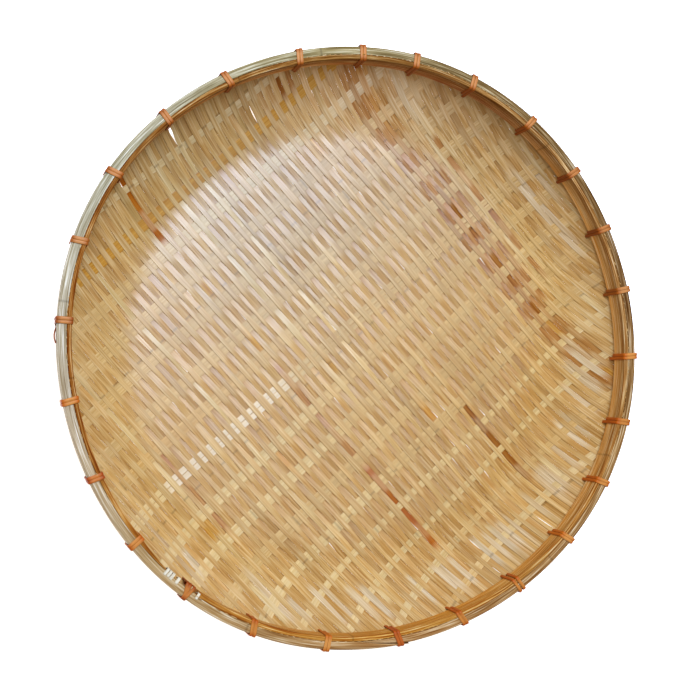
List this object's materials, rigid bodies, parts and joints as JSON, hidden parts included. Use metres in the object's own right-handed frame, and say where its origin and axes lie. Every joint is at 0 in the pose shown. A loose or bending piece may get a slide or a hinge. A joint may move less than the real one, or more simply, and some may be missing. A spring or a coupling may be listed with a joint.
{
  "type": "woven bamboo tray basket",
  "caption": "Round shallow tray of plain-woven bamboo strips, its edge clamped between two bamboo hoops that flat orange cord lashes together.",
  "frame": {"origin": "middle of the flat woven bottom, on the surface that the tray rests on", "axes": "+Z is the tray's own axis, out of its open side; +Y is the picture's up and +X its right, as the tray hangs there"},
  "size_m": [0.4537, 0.4506, 0.0618],
  "materials": {
    "woven_bamboo": "split bamboo strips, satin, straw and tan with darker gaps",
    "bamboo_skin_side": "split bamboo with its weathered grey-green skin outwards, satin",
    "bamboo_heart_side": "split bamboo, caramel brown, satin",
    "orange_cord": "flat glossy orange cord",
    "red_cord": "flat glossy red-orange cord, darker"
  },
  "bodies": {
    "root": {"woven_mat": "woven_bamboo", "outer_hoop": "bamboo_skin_side", "inner_hoop": "bamboo_heart_side", "lashing_01": "orange_cord", "lashing_02": "orange_cord", "lashing_03": "orange_cord", "lashing_04": "orange_cord", "lashing_05": "orange_cord", "lashing_06": "orange_cord", "lashing_07": "orange_cord", "lashing_08": "orange_cord", "lashing_09": "orange_cord", "lashing_10": "orange_cord", "lashing_11": "orange_cord", "lashing_12": "orange_cord", "lashing_13": "orange_cord", "lashing_14": "orange_cord", "lashing_15": "orange_cord", "lashing_16": "orange_cord", "lashing_17": "orange_cord", "lashing_18": "orange_cord", "lashing_19": "orange_cord", "lashing_20": "orange_cord", "lashing_21": "orange_cord", "lashing_22": "orange_cord", "lashing_23": "orange_cord", "lashing_24": "orange_cord", "lashing_with_loose_end": "red_cord", "knotted_lashing": "red_cord"}
  },
  "joints": []
}
